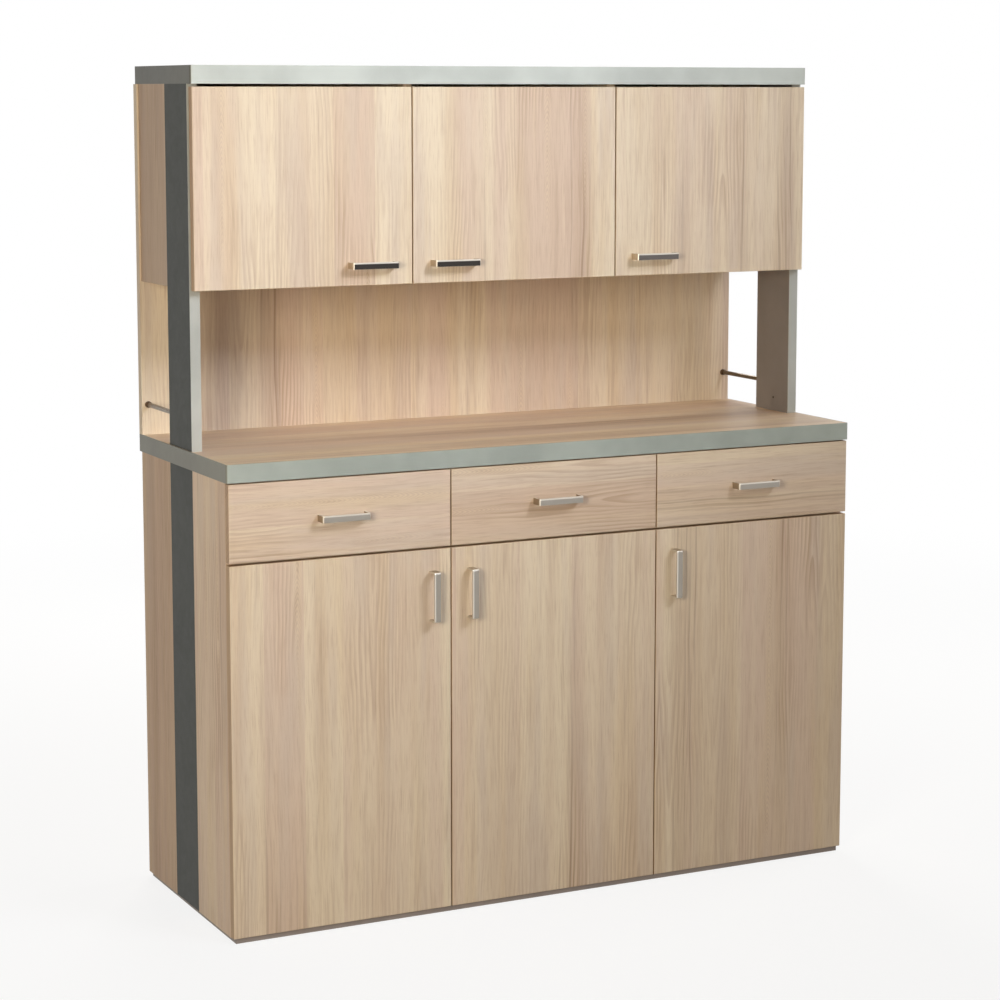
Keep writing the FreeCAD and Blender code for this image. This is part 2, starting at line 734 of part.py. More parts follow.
def drawers():
    channels = []
    for bay in BAYS:
        name = f"drawer_{bay}"
        left_edge = front_left(bay, FRONT_PITCH, HALF_CARCASS)
        node(front_panel(
            f"{name}_front", (left_edge, FRONT, DRAWER_FOOT), FRONT_WIDTH, "drawer_front_height",
        ))
        node(bow_handle(
            f"{name}_handle",
            (f"{left_edge} + {FRONT_WIDTH} / 2", f"{FRONT} - handle_reach",
             f"{DRAWER_FOOT} + drawer_front_height / 2"),
            vertical=False,
        ))
        left, right = bay_span(bay, DIVIDER, HALF_INNER)
        x_low, x_high = f"({left} + runner_space)", f"({right} - runner_space)"
        y, z = f"({FRONT} + board)", f"({DRAWER_FOOT} + box_lift)"
        inside = f"({x_high} - {x_low} - 2 * box_side)"
        node(group(f"{name}_box", [
            board(f"{name}_side_left", (x_low, y, z), ("box_side", "box_depth", "box_height")),
            board(f"{name}_side_right", (f"{x_high} - box_side", y, z),
                  ("box_side", "box_depth", "box_height")),
            board(f"{name}_inner_front", (f"{x_low} + box_side", y, z),
                  (inside, "box_side", "box_height")),
            board(f"{name}_rear", (f"{x_low} + box_side", f"{y} + box_depth - box_side", z),
                  (inside, "box_side", "box_height")),
            board(f"{name}_floor", (f"{x_low} + box_side", f"{y} + box_side", f"{z} + box_floor_lift"),
                  (inside, "box_depth - 2 * box_side", "box_floor")),
        ]))
        depth = "(runner_space - runner_wall - 2 * runner_play)"
        inner_height = "(runner_height - 2 * runner_wall - 2 * runner_play)"
        run_z = f"({z} + runner_lift)"
        lower = f"({run_z} + runner_wall + runner_play)"
        run_y = f"({CARCASS_FRONT} + runner_setback)"
        channel_depth = "(runner_space - 2 * runner_play - runner_wall)"
        channels.append(runner_profile(
            f"channel_{bay}_left", (left, run_y, run_z), "runner_length", True,
            "runner_height", channel_depth))
        channels.append(runner_profile(
            f"channel_{bay}_right", (f"{right} - {channel_depth}", run_y, run_z), "runner_length",
            False, "runner_height", channel_depth))
        node(group(f"{name}_runners", [
            runner_profile(f"{name}_runner_left", (f"{x_low} - {depth}", run_y, lower),
                           "runner_length", False, inner_height, depth),
            runner_profile(f"{name}_runner_right", (x_high, run_y, lower),
                           "runner_length", True, inner_height, depth),
        ]))
    node(group("runner_channels", channels))


base_cabinet()
base_rails_and_shelves()
shelf_pins()
banded_top("worktop", "(top_length / 2)", FRONT, BACK, DECK)
posts()
upper_cabinet()
banded_top("top_board", HALF_CARCASS, UPPER_FRONT, BACK, UPPER_DECK)
doors(
    "base", lambda bay: front_left(bay, FRONT_PITCH, HALF_CARCASS), FRONT_WIDTH, DOOR_HEIGHT,
    FRONT, DOOR_FOOT,
    {"left": "(board - axis_inset)", "middle": "(board / 2 - front_gap / 2 - axis_inset)",
     "right": "(board - axis_inset)"},
)
doors(
    "upper", lambda bay: front_left(bay, UPPER_PITCH, HALF_UPPER_FRONTS), UPPER_WIDTH,
    UPPER_DOOR_HEIGHT, UPPER_FRONT, UPPER_FOOT,
    {"left": f"({POST_THICK} - upper_side_gap - axis_inset)",
     "middle": "(board / 2 - front_gap / 2 - axis_inset)",
     "right": f"({POST_THICK} - upper_side_gap - axis_inset)"},
)
drawers()
doc.recompute()

broken = [item.Label for item in doc.Objects if {"Invalid", "Error"} & set(item.State)]
for item in EXPORTED:
    if item.Shape.isNull() or not item.Shape.isValid() or not item.Shape.Solids:
        broken.append(item.Label)
if broken:
    raise RuntimeError("pieces that did not build: " + ", ".join(broken))

os.makedirs("parts", exist_ok=True)
for item in EXPORTED:
    item.Shape.exportStep(os.path.join("parts", item.Label + ".step"))
print(len(EXPORTED), "pieces written")
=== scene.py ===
"""Looks of the waiter service station: finishes, screws, light, floor and camera."""
import math

import bmesh
import bpy
from mathutils import Matrix, Vector


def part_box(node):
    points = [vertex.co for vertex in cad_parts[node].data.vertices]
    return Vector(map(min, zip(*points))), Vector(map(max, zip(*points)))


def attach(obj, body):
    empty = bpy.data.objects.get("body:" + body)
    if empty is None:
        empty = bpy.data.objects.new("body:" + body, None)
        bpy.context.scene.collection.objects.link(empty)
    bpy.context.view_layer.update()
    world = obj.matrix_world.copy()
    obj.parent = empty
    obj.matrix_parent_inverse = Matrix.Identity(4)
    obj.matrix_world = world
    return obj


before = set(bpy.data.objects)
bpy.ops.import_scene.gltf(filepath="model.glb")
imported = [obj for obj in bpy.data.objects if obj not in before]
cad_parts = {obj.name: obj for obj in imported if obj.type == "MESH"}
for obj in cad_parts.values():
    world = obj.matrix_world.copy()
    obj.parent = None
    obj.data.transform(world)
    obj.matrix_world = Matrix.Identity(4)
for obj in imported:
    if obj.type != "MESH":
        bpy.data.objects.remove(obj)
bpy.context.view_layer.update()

MM = 0.001
AXES = "XYZ"
BAYS = ("left", "middle", "right")

# Camera: where it stands, the way it looks and its focal length in pixels of a 1000-pixel frame.
FRAME_PIXELS = 1000
CAMERA_PLACE = (-2.5413, -5.0722, 1.7444)
CAMERA_YAW = 0.4635
CAMERA_PITCH = 0.1270
FOCAL_PIXELS = 2566.4
CENTRE_ROW = 420         # the row of the picture that the lens looks straight at
SENSOR_WIDTH = 36.0


# ---------------------------------------------------------------- colours and node helpers

def paint(red, green, blue):
    """A colour written in 0-255 sRGB steps, as the linear RGBA that shaders read."""
    def linear(step):
        share = step / 255
        return share / 12.92 if share <= 0.04045 else ((share + 0.055) / 1.055) ** 2.4
    return (linear(red), linear(green), linear(blue), 1.0)


def gray(level):
    """A neutral colour, such as one that makes another darker or lighter."""
    return (level, level, level, 1.0)


class Nodes:
    """Adds nodes to one node tree. An input may be a number, a colour or another node's socket."""

    def __init__(self, tree):
        self.tree = tree

    def add(self, kind, inputs=None, **settings):
        node = self.tree.nodes.new(kind)
        for name, value in settings.items():
            setattr(node, name, value)
        for name, value in (inputs or {}).items():
            self.feed(node.inputs[name], value)
        return node

    def feed(self, socket, value):
        if isinstance(value, bpy.types.NodeSocket):
            self.tree.links.new(value, socket)
        else:
            socket.default_value = value

    def math(self, operation, first, second=0.0):
        return self.add("ShaderNodeMath", {0: first, 1: second}, operation=operation).outputs[0]

    def product(self, first, second):
        return self.math("MULTIPLY", first, second)

    def total(self, first, second):
        return self.math("ADD", first, second)

    def step(self, value, low, high):
        """0 at low, 1 at high, smooth between them and level beyond. low may be the larger."""
        node = self.add("ShaderNodeMapRange", {"Value": value, "From Min": low, "From Max": high},
                        interpolation_type="SMOOTHSTEP")
        return node.outputs["Result"]

    def vector(self, x, y, z):
        return self.add("ShaderNodeCombineXYZ", {"X": x, "Y": y, "Z": z}).outputs[0]

    def split(self, vector):
        return self.add("ShaderNodeSeparateXYZ", {"Vector": vector}).outputs

    def noise(self, vector, detail, roughness, scale=1.0, distortion=0.0):
        node = self.add("ShaderNodeTexNoise",
                        {"Vector": vector, "Scale": scale, "Detail": detail,
                         "Roughness": roughness, "Distortion": distortion})
        return node.outputs["Fac"]

    def blend(self, factor, first, second, mode="MIX"):
        node = self.add("ShaderNodeMix", data_type="RGBA", blend_type=mode)
        self.feed(node.inputs["Factor"], factor)
        self.feed(node.inputs[6], first)
        self.feed(node.inputs[7], second)
        return node.outputs[2]

    def tinted(self, color, tint):
        """One colour multiplied by another."""
        return self.blend(1.0, color, tint, "MULTIPLY")

    def lay(self, color, over, share, strength):
        """One colour laid over another where share is 1, as strongly as strength says."""
        return self.blend(self.product(share, strength), color, over)

    def bump(self, height, strength, distance):
        return self.add("ShaderNodeBump", {"Height": height, "Strength": strength,
                                           "Distance": distance}).outputs["Normal"]

    def place(self):
        """The point in the piece's own frame, whole and split into X, Y and Z."""
        point = self.add("ShaderNodeTexCoord").outputs["Object"]
        return point, self.split(point)

    def facing(self, axis):
        """How squarely the surface looks along one axis of the piece's own frame, -1 to 1."""
        return self.split(self.add("ShaderNodeTexCoord").outputs["Normal"])[axis]


def new_group(name, inputs, outputs):
    """An empty node group with float inputs and the given outputs."""
    group = bpy.data.node_groups.new(name, "ShaderNodeTree")
    for label, start in inputs.items():
        socket = group.interface.new_socket(label, in_out="INPUT", socket_type="NodeSocketFloat")
        socket.default_value = start
    for label, kind in outputs.items():
        group.interface.new_socket(label, in_out="OUTPUT", socket_type=kind)
    nodes = Nodes(group)
    return group, nodes, nodes.add("NodeGroupInput").outputs, nodes.add("NodeGroupOutput").inputs


def new_material(name):
    """A material, the helper that adds nodes to it, and its shader."""
    material = bpy.data.materials.new(name)
    material.use_nodes = True
    tree = material.node_tree
    return material, Nodes(tree), tree.nodes["Principled BSDF"]


# ---------------------------------------------------------------- the wood decor

CUT_ACROSS = 1.37        # how far a cut of 1 moves the board over the grain, in metres
CUT_ALONG = 2.91         # and with the grain
LAMELLA = 0.105          # mean width of one lamella of the decor
WANDER = 0.024           # how far the fibre sways over the grain
RING_PITCH = 0.0085      # mean distance between two growth lines
RING_TOP = 0.009         # half the width over which the top of a growth arch is rounded
RING_SWAY = 0.026        # how far a growth line strays
TAPER = 0.020            # how much a growth line leans along the grain
FEATHER_PITCH = 0.0036   # distance between the nested arches of a feather figure, across it
FEATHER_TOP = 0.0022     # half the width over which their tops are rounded
FEATHER_SWAY = (0.05, 0.0045)       # how far they stray, with the grain and over it
FEATHER_TAPER = 0.30     # the same arches' lean: a larger one sets them closer along the grain
HEART_EDGE = (0.012, 0.003)         # from the lamella's middle: where they start and are full
CREAM = paint(231, 215, 191)
ROSE = paint(220, 198, 179)
LILAC = paint(213, 196, 180)
HONEY = paint(224, 203, 172)
TAN = paint(204, 178, 152)
LATE_WOOD = paint(178, 147, 120)
DARK_STREAK = paint(146, 112, 89)
PORE = paint(152, 123, 100)


class Decor:
    """What the layers of the decor share: the place on the board, its lamellas and its fibre.

    Lamellas are cells of uneven width. share holds three numbers that each has for its own,
    and inside is 1 apart from the soft joints at the edges of some.
    """

    def __init__(self, n, across, along):
        self.n, self.across, self.along = n, across, along
        place = {"W": n.product(across, 1 / LAMELLA), "Scale": 1.0}
        cell = n.add("ShaderNodeTexVoronoi", place, voronoi_dimensions="1D")
        edge = n.add("ShaderNodeTexVoronoi", place, voronoi_dimensions="1D",
                     feature="DISTANCE_TO_EDGE")
        self.share = n.add("ShaderNodeSeparateColor", {"Color": cell.outputs["Color"]}).outputs
        self.from_middle = n.math("SUBTRACT", across, n.product(cell.outputs["W"], LAMELLA))
        sharp = n.step(self.share[2], 0.30, 0.35)
        self.inside = n.math("MAXIMUM", sharp, n.step(edge.outputs["Distance"], 0.0, 0.25))
        sway = n.math("SUBTRACT", self.figure(5.0, 2.2, seed=3.0), 0.5)
        self.fibre = n.total(across, n.product(sway, WANDER))
        self.streak = self.figure(120.0, 3.2, detail=3.0, roughness=0.6, place=self.fibre)
        self.hair = self.figure(480.0, 14.0, roughness=0.6, place=self.fibre)

    def figure(self, over, along, seed=0.0, detail=2.0, roughness=0.5, place=None):
        """Noise stretched along the grain: how many times it turns per metre over and along."""
        n = self.n
        start = self.across if place is None else place
        point = n.vector(n.product(start, over), n.product(self.along, along), seed)
        return n.noise(point, detail, roughness)

    def reach(self, top):
        """The distance from the lamella's middle, rounded off next to it."""
        n = self.n
        return n.math("SQRT", n.total(n.product(self.from_middle, self.from_middle), top ** 2))


def soft_bands(decor):
    """Bands of cream, rose, lilac, honey and tan, some of them a lamella's own."""
    n, figure, share = decor.n, decor.figure, decor.share
    own = n.product(n.math("SUBTRACT", share[0], 0.5), decor.inside)
    tone = n.total(n.product(own, 0.70), n.product(figure(24.0, 0.9, detail=3.0), 0.9))
    color = n.blend(n.step(tone, 0.22, 0.72), CREAM, ROSE)
    color = n.lay(color, LILAC, n.step(figure(17.0, 1.4, seed=31.0), 0.46, 0.68), 0.70)
    color = n.lay(color, HONEY, n.step(figure(19.0, 1.0, seed=37.0), 0.50, 0.70), 0.60)
    own = n.product(n.step(share[1], 0.60, 0.95), decor.inside)
    drift = n.step(figure(15.0, 0.7, seed=43.0), 0.52, 0.74)
    return n.blend(n.total(n.product(own, 0.30), n.product(drift, 0.35)), color, TAN)


def fine_fibre(decor, color):
    """Soft streaks and hair lines. The streaks come and go along the grain."""
    n = decor.n
    open_grain = n.step(decor.figure(38.0, 5.0, seed=11.0), 0.36, 0.66)
    streaks = n.product(n.step(decor.streak, 0.46, 0.74), open_grain)
    color = n.lay(color, LATE_WOOD, streaks, 0.40)
    color = n.lay(color, LATE_WOOD, n.step(decor.hair, 0.46, 0.74), 0.34)
    return n.lay(color, CREAM, n.step(decor.streak, 0.42, 0.24), 0.40)


def growth_lines(decor, color):
    """Nested arches in the middle of a lamella, near-straight lines at its sides.

    Gives the new colour and the lines themselves.
    """
    n, share = decor.n, decor.share
    lean = n.math("SUBTRACT", n.product(n.step(share[2], 0.35, 0.65), 2.0), 1.0)
    ring = n.total(decor.reach(RING_TOP), n.product(n.product(decor.along, lean), TAPER))
    ring = n.total(ring, n.product(decor.figure(16.0, 3.0, seed=4.0), RING_SWAY))
    phase = n.math("FRACT", n.product(ring, 1 / RING_PITCH))
    line = n.product(n.step(phase, 0.20, 0.85), n.step(phase, 1.0, 0.88))
    patch = n.step(decor.figure(9.0, 1.6, seed=9.0), 0.44, 0.66)
    strength = n.product(patch, n.total(n.product(share[0], 0.5), 0.25))
    return n.lay(color, LATE_WOOD, n.product(line, strength), 0.90), line


def feather_figure(decor, color):
    """Narrow, close-set arches up the heart of some lamellas."""
    n = decor.n
    sway_along, sway_over = FEATHER_SWAY
    along = n.total(decor.along, n.product(decor.figure(20.0, 6.0, seed=51.0), sway_along))
    arch = n.total(decor.reach(FEATHER_TOP), n.product(along, FEATHER_TAPER))
    arch = n.total(arch, n.product(decor.figure(90.0, 24.0, seed=53.0), sway_over))
    turn = n.math("FRACT", n.product(arch, 1 / FEATHER_PITCH))
    feather = n.product(n.step(turn, 0.15, 0.70), n.step(turn, 1.0, 0.80))
    heart = n.product(n.step(n.math("ABSOLUTE", decor.from_middle), *HEART_EDGE),
                      n.step(decor.share[0], 0.45, 0.60))
    heart = n.product(heart, n.step(decor.figure(6.0, 2.4, seed=57.0, detail=1.0), 0.44, 0.60))
    color = n.lay(color, HONEY, n.product(feather, heart), 0.42)
    return n.lay(color, LATE_WOOD, n.product(n.step(feather, 0.6, 0.2), heart), 0.14)


def dark_streaks(decor, color):
    """Dark streaks in loose bundles."""
    n = decor.n
    bundle = n.step(decor.figure(10.0, 0.35, seed=17.0, detail=1.0), 0.55, 0.72)
    dark = n.step(decor.figure(125.0, 1.1, seed=23.0, place=decor.fibre), 0.50, 0.70)
    color = n.lay(color, LATE_WOOD, bundle, 0.28)
    return n.lay(color, DARK_STREAK, n.product(bundle, dark), 0.62)


def wood_group():
    """Light ash decor. Across and Along are metres over and with the grain; Cut moves the board."""
    group, n, given, result = new_group(
        "ash_decor", {"Across": 0.0, "Along": 0.0, "Cut": 0.0},
        {"Color": "NodeSocketColor", "Roughness": "NodeSocketFloat", "Height": "NodeSocketFloat"})
    decor = Decor(n, n.total(given["Across"], n.product(given["Cut"], CUT_ACROSS)),
                  n.total(given["Along"], n.product(given["Cut"], CUT_ALONG)))
    color = fine_fibre(decor, soft_bands(decor))
    color, line = growth_lines(decor, color)
    color = feather_figure(decor, color)
    color = dark_streaks(decor, color)
    pores = n.step(decor.figure(1500.0, 42.0, detail=1.0, place=decor.fibre), 0.66, 0.78)
    rough = n.product(n.total(pores, n.product(decor.streak, 0.4)), 0.12)
    sunk = n.total(pores, n.product(line, 0.2))
    n.feed(result["Color"], n.lay(color, PORE, pores, 0.35))
    n.feed(result["Roughness"], n.total(0.44, rough))
    n.feed(result["Height"], n.math("SUBTRACT", n.product(decor.hair, 0.4), sunk))
    return group


def edge_group():
    """How far a point of a box-shaped board lies from its nearest arris, in metres."""
    inputs = {label + axis: start
              for label, start in (("", 0.0), ("Middle ", 0.0), ("Half ", 1.0)) for axis in AXES}
    group, n, given, result = new_group("arris_distance", inputs, {"Distance": "NodeSocketFloat"})
    depth = []
    for axis in AXES:
        off = n.math("ABSOLUTE", n.math("SUBTRACT", given[axis], given["Middle " + axis]))
        depth.append(n.math("SUBTRACT", given["Half " + axis], off))
    low = n.math("MINIMUM", depth[0], depth[1])
    high = n.math("MAXIMUM", depth[0], depth[1])
    n.feed(result["Distance"], n.math("MAXIMUM", low, n.math("MINIMUM", high, depth[2])))
    return group


ASH = wood_group()
ARRIS = edge_group()
# A paler rim along the arrises: the edge tape's own tone, with a painted highlight where its
# rounded lip would catch light.
TAPE_AND_HIGHLIGHT = paint(236, 214, 176)
TAPE_AND_HIGHLIGHT_SPAN = (1.4 * MM, 0.5 * MM)        # from an arris: where the paler rim of edge tape and painted highlight starts and is full
PAINTED_GAP_SHADE = (0.72, 0.60, 0.48, 1.0)    # painted shade on the edges of the fronts, for the gaps between them: how much of the decor they keep
# Tints of painted light and painted shade: a pale one as painted light on the fronts of the base
# sides, a warm one as painted light on the worktop, a brown one as painted shade on the base sides
# behind the inlays, and an umber one as painted shade on the upper sides.
PAINTED_LIGHT_PALE, PAINTED_LIGHT_WARM = (1.12, 1.11, 1.10, 1.0), (1.0, 0.95, 0.88, 1.0)
PAINTED_SHADE_BROWN, PAINTED_SHADE_UMBER = (0.82, 0.72, 0.62, 1.0), (0.76, 0.68, 0.63, 1.0)
INLAY_SPAN = (0 * MM, 80 * MM)          # along Y, under the inlays, where the painted light turns to painted shade

# Boards with painted light before the inlays and painted shade behind them; the right sides carry
# the same as the left.
PAINTED_LIGHT_AND_SHADE = {"base_side_left": (PAINTED_LIGHT_PALE, PAINTED_SHADE_BROWN), "base_side_right": (PAINTED_LIGHT_PALE, PAINTED_SHADE_BROWN),
         "upper_side_left": (PAINTED_SHADE_UMBER, PAINTED_SHADE_UMBER), "upper_side_right": (PAINTED_SHADE_UMBER, PAINTED_SHADE_UMBER),
         "worktop": (PAINTED_LIGHT_WARM, PAINTED_LIGHT_WARM)}


def arris(n, point, node):
    """The distance to the nearest arris of the board that a CAD node holds."""
    low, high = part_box(node)
    box = n.add("ShaderNodeGroup", node_tree=ARRIS)
    for index, axis in enumerate(AXES):
        n.feed(box.inputs[axis], point[index])
        n.feed(box.inputs["Middle " + axis], (low[index] + high[index]) / 2)
        n.feed(box.inputs["Half " + axis], (high[index] - low[index]) / 2)
    return box.outputs["Distance"]


def wood(node, grain, cut, tape_and_highlight=True, front=False):
    """The decor on one board: grain is the axis that it runs along, cut picks the stretch.

    On a front, a door or drawer face, the edges are painted a tone darker than its faces: painted
    shade for the gaps between the fronts.
    """
    material, n, shader = new_material(node + "_wood")
    _, point = n.place()
    first, second = [axis for axis in AXES if axis != grain]
    decor = n.add("ShaderNodeGroup", {"Across": n.total(point[first], point[second]),
                                      "Along": point[grain], "Cut": cut}, node_tree=ASH)
    color = decor.outputs["Color"]
    # Painted light and painted shade on the boards listed above.
    if node in PAINTED_LIGHT_AND_SHADE:
        before, behind = PAINTED_LIGHT_AND_SHADE[node]
        color = n.tinted(color, n.blend(n.step(point["Y"], *INLAY_SPAN), before, behind))
    # The paler rim of edge tape and painted highlight along the arrises.
    if tape_and_highlight:
        color = n.lay(color, TAPE_AND_HIGHLIGHT, n.step(arris(n, point, node), *TAPE_AND_HIGHLIGHT_SPAN), 0.3)
    # Painted shade on the edges of a front.
    if front:
        face = n.step(n.math("ABSOLUTE", n.facing("Y")), 0.3, 0.6)
        color = n.blend(face, n.tinted(color, PAINTED_GAP_SHADE), color)
    n.feed(shader.inputs["Base Color"], color)
    n.feed(shader.inputs["Roughness"], decor.outputs["Roughness"])
    n.feed(shader.inputs["Normal"], n.bump(decor.outputs["Height"], 0.25, 0.15 * MM))
    shader.inputs["Specular IOR Level"].default_value = 0.35
    return material


# ---------------------------------------------------------------- laminate and metal

LIFT = 1.22              # how much lighter the pebbles and rub marks are than the laminate
PEBBLES = 900.0          # how often the laminate's pebble turns per metre
WEAR = 0.20              # how much darker a metal's dull marks are; its roughness varies as much
MOTTLE = 420.0           # how often a barrel-plated part's mottle turns per metre
ALONG_BRUSH = 45.0       # and brush marks, along them
OVER_BRUSH = 2600.0      # and over them
# Painted highlight on the handles: on the faces along the grip and in a lip on its front.
PAINTED_GLINT = paint(226, 218, 206)
GLINT_LIP = 3 * MM             # width of the painted highlight lip along a handle's grip
GLINT_LIP_EDGE = 1 * MM        # half the width over which it fades


def painted_light_front_share(n):
    """1 on faces of the piece that look forward, along -Y, and 0 on the others: where painted light
    sets the front faces apart.
    """
    return n.step(n.facing("Y"), -0.76, -0.94)


def laminate(name, color, rough, front=None, specular=0.5):
    """Pearl-textured laminate: a fine pebble, slow clouds and a few lighter rub marks.

    front is a colour painted on the faces that look forward, where it differs from the rest:
    painted sheen and light.
    """
    material, n, shader = new_material(name)
    point, _ = n.place()
    # Painted sheen and light on the faces that look forward.
    if front is not None:
        color = n.blend(painted_light_front_share(n), color, front)
    light = n.tinted(color, gray(LIFT))
    cloud = n.noise(point, 3.0, 0.55, scale=7.0)
    pebble = n.noise(point, 2.0, 0.6, scale=PEBBLES)
    rub = n.noise(point, 5.0, 0.75, scale=38.0, distortion=0.6)
    mixed = n.blend(n.step(cloud, 0.30, 0.72), color, light)
    mixed = n.lay(mixed, light, n.step(pebble, 0.45, 0.75), 0.35)
    mixed = n.lay(mixed, light, n.step(rub, 0.66, 0.80), 0.25)
    uneven = n.product(n.math("SUBTRACT", rub, 0.5), 0.2)
    n.feed(shader.inputs["Base Color"], mixed)
    n.feed(shader.inputs["Roughness"], n.total(rough, uneven))
    n.feed(shader.inputs["Normal"], n.bump(pebble, 0.20, 0.08 * MM))
    shader.inputs["Specular IOR Level"].default_value = specular
    return material


def metal(name, color, rough, brushed=None, metallic=1.0):
    """Plated steel: brushed along one axis, or with the soft mottle of a barrel-plated part."""
    material, n, shader = new_material(name)
    plate(n, shader, color, rough, brushed, metallic)
    return material


def plate(n, shader, color, rough, brushed, metallic):
    """Finishes a metal's shader: the brushing or mottle, its sheen and its bump."""
    point, parts = n.place()
    if brushed is None:
        texture = n.noise(point, 4.0, 0.65, scale=MOTTLE)
    else:
        squeezed = [n.product(parts[axis], ALONG_BRUSH if axis == brushed else OVER_BRUSH)
                    for axis in AXES]
        texture = n.noise(n.vector(*squeezed), 3.0, 0.6)
    smear = n.noise(point, 3.0, 0.6, scale=60.0)
    bright = n.total(n.product(texture, 0.6), n.product(smear, 0.4))
    uneven = n.product(n.math("SUBTRACT", texture, 0.5), WEAR)
    n.feed(shader.inputs["Base Color"], n.blend(bright, n.tinted(color, gray(1 - WEAR)), color))
    n.feed(shader.inputs["Roughness"], n.total(rough, uneven))
    n.feed(shader.inputs["Normal"], n.bump(texture, 0.12, 0.03 * MM))
    shader.inputs["Metallic"].default_value = metallic


def handle_steel(node, brushed, rough, face, side):
    """Brushed steel of one handle, in painted light: a front with a painted highlight lip, faces
    along the grip painted as highlight, and end faces of a lit or shaded tone.

    The grip runs the way that it is brushed. The painted highlight lip is along the top of a level
    grip and along the left of an upright one.
    """
    material, n, shader = new_material(node + "_steel")
    _, point = n.place()
    low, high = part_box(node)
    # A painted highlight lip along the front of the grip.
    if brushed == "Z":
        glint_lip = n.step(point["X"], low.x + GLINT_LIP + GLINT_LIP_EDGE, low.x + GLINT_LIP - GLINT_LIP_EDGE)
    else:
        glint_lip = n.step(point["Z"], high.z - GLINT_LIP - GLINT_LIP_EDGE, high.z - GLINT_LIP + GLINT_LIP_EDGE)
    # Painted light by face: end faces take the side tone, the others the painted highlight, the
    # front its own tone.
    end = n.step(n.math("ABSOLUTE", n.facing(brushed)), 0.6, 0.9)
    color = n.blend(painted_light_front_share(n), n.blend(end, PAINTED_GLINT, side), n.blend(glint_lip, face, PAINTED_GLINT))
    plate(n, shader, color, rough, brushed, metallic=0.85)
    return material


def dress(node, material):
    """Gives a CAD node one material on all its faces."""
    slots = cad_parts[node].data.materials
    slots.clear()
    slots.append(material)


# ---------------------------------------------------------------- finishes of the CAD nodes

# The stretch of the decor that each board shows.
UPRIGHT_CUTS = {"base_side_left": 1.21, "base_side_right": 6.43, "upper_back": 7.93,
                "upper_side_left": 2.52, "upper_side_right": 5.17, "base_back": 8.83,
                "base_divider_left": 4.04, "base_divider_right": 7.71, "upper_dividers": 9.15}
LEVEL_CUTS = {"worktop": 0.35, "top_board": 1.62, "base_bottom": 2.27, "upper_bottom": 3.91,
              "base_shelves": 5.53, "upper_shelves": 6.06}
RAIL_CUT = 12.6
BOX_CUT = 14.2
# Rows of fronts: the nodes, the grain, the left one's cut and the step to the next one's.
FRONT_ROWS = (("upper_door_{}_panel", "Z", 10.40, 1.7), ("base_door_{}_panel", "Z", 20.15, 2.3),
              ("drawer_{}_front", "X", 30.70, 3.1))


def dress_wood():
    """Every board in the wood decor, each cut from another stretch of it."""
    for index, bay in enumerate(BAYS):
        for pattern, grain, first, step in FRONT_ROWS:
            node = pattern.format(bay)
            dress(node, wood(node, grain, first + step * index, front=True))
    for node, cut in UPRIGHT_CUTS.items():
        dress(node, wood(node, "Z", cut, tape_and_highlight=not node.startswith("upper")))
    for node, cut in LEVEL_CUTS.items():
        dress(node, wood(node, "X", cut))
    for node in ("top_rails", "drawer_rails"):
        dress(node, wood(node, "X", RAIL_CUT, tape_and_highlight=False))
    for bay in BAYS:
        dress(f"drawer_{bay}_box", wood(f"drawer_{bay}_box", "Y", BOX_CUT, tape_and_highlight=False))


def dress_laminate():
    """Grey edge bands, posts, cheeks, inlays and the plinth."""
    # The bands' front faces are painted much lighter than their ends: painted sheen and light,
    # strongest on the top band.
    dress("top_board_edging", laminate("top_band", paint(96, 97, 91), 0.40,
                                       front=paint(186, 191, 187), specular=0.25))
    dress("worktop_edging", laminate("worktop_band", paint(126, 127, 120), 0.40,
                                     front=paint(158, 165, 159), specular=0.25))
    post = laminate("grey_laminate", paint(53, 55, 50), 0.45, specular=0.15)
    for node in ("post_left", "post_right", "side_inlays"):
        dress(node, post)
    dress("post_cheeks", laminate("cheek_laminate", paint(124, 119, 118), 0.42))
    dress("post_edge_bands", laminate("post_trim", paint(172, 174, 170), 0.36))
    dress("plinth_board", laminate("plinth_laminate", paint(143, 133, 128), 0.5))


def dress_handles():
    """Handles in painted light: fronts in painted reflection tones, satin below and dark on the
    upper doors with the right one greyer; legs in painted shade below and painted light above.
    """
    # Painted reflection tones for the fronts, painted shade and painted light for the legs.
    satin, shaded_leg, lit_leg = paint(164, 157, 147), paint(176, 160, 138), paint(208, 192, 170)
    dark_reflection, grey_reflection = paint(58, 54, 51), paint(104, 98, 94)
    for bay in BAYS:
        dark = grey_reflection if bay == "right" else dark_reflection
        for body, brushed, rough, face, side in ((f"base_door_{bay}", "Z", 0.48, satin, shaded_leg),
                                                 (f"drawer_{bay}", "X", 0.48, satin, shaded_leg),
                                                 (f"upper_door_{bay}", "X", 0.40, dark, lit_leg)):
            dress(f"{body}_handle", handle_steel(f"{body}_handle", brushed, rough, face, side))


def dress_fittings():
    """Rods, hinges, runners and pins."""
    nickel = metal("hinge_nickel", paint(206, 204, 198), 0.30)
    coat = laminate("runner_coat", paint(216, 216, 213), 0.40)
    for row in ("base", "upper"):
        dress(f"{row}_hinge_arms", nickel)
        for bay in BAYS:
            dress(f"{row}_door_{bay}_hinge_cups", nickel)
    for bay in BAYS:
        dress(f"drawer_{bay}_runners", coat)
    dress("runner_channels", coat)
    dress("gallery_rods", metal("rod_satin", paint(128, 116, 102), 0.28, "Y"))
    dress("shelf_pins", metal("pin_nickel", paint(198, 196, 190), 0.32))


# ---------------------------------------------------------------- screws and collars

